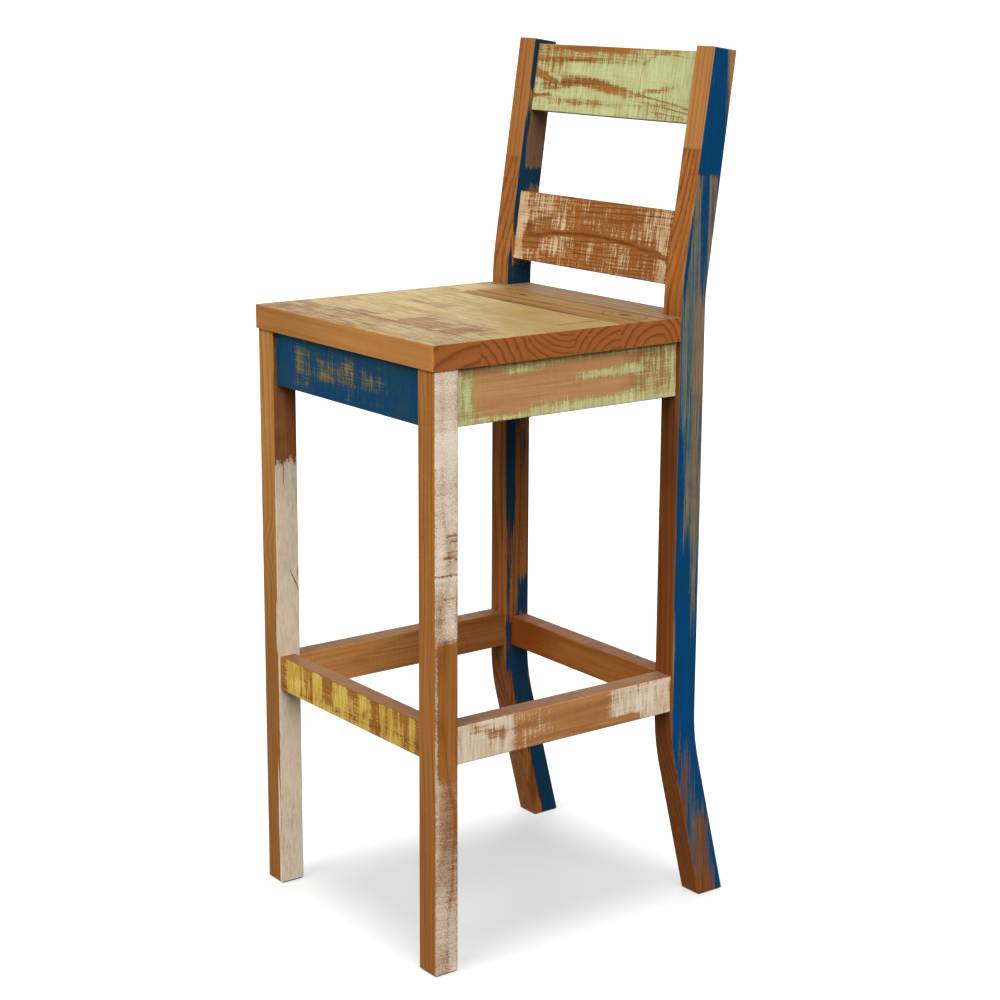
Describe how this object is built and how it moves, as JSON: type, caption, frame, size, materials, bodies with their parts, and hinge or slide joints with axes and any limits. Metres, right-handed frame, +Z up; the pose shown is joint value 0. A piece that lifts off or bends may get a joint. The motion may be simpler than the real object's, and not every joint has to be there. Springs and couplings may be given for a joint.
{
  "type": "bar stool with backrest and footrest",
  "caption": "Rigid wooden bar stool with a flat plank seat, raked back posts with slats, aprons, and low stretchers of which the front one is a footrest.",
  "frame": {"origin": "on the floor, under the middle of the stool's overall width and depth", "axes": "+Z up, -Y to the front where the sitter's feet hang, +X to the viewer's right when facing the front"},
  "size_m": [0.393, 0.4683, 1.1],
  "materials": {
    "wood_legs": "bare and worn cream paint",
    "wood_posts": "worn blue paint over bare wood",
    "wood_aprons_blue": "worn blue paint",
    "wood_aprons": "worn pale green paint",
    "wood_footrest": "worn yellow paint",
    "wood_stretchers": "bare with worn cream paint",
    "wood_upper_slat": "worn pale green paint",
    "wood_lower_slat": "bare with traces of cream paint",
    "wood_seat": "worn straw paint",
    "wood_seat_rear": "bare, satin",
    "wood_blocks": "bare",
    "dowel_wood": "bare",
    "screw_steel": "zinc plated"
  },
  "bodies": {
    "root": {"front_leg_left": "wood_legs", "front_leg_right": "wood_legs", "rear_post_left": "wood_posts", "rear_post_right": "wood_posts", "front_apron": "wood_aprons_blue", "rear_apron": "wood_aprons", "left_apron": "wood_aprons", "right_apron": "wood_aprons", "front_stretcher": "wood_footrest", "rear_stretcher": "wood_stretchers", "left_stretcher": "wood_stretchers", "right_stretcher": "wood_stretchers", "upper_back_slat": "wood_upper_slat", "lower_back_slat": "wood_lower_slat", "seat_board_1": "wood_seat", "seat_board_2": "wood_seat", "seat_board_3": "wood_seat", "seat_board_4": "wood_seat", "seat_board_5": "wood_seat_rear", "seat_board_6": "wood_seat_rear", "corner_block_front_left": "wood_blocks", "corner_block_front_right": "wood_blocks", "corner_block_rear_left": "wood_blocks", "corner_block_rear_right": "wood_blocks", "apron_cross_dowels": "dowel_wood", "apron_side_dowels": "dowel_wood", "stretcher_cross_dowels": "dowel_wood", "stretcher_side_dowels": "dowel_wood", "slat_dowels": "dowel_wood", "seat_board_dowels": "dowel_wood", "corner_block_screws": "screw_steel", "seat_screws": "screw_steel"}
  },
  "joints": []
}
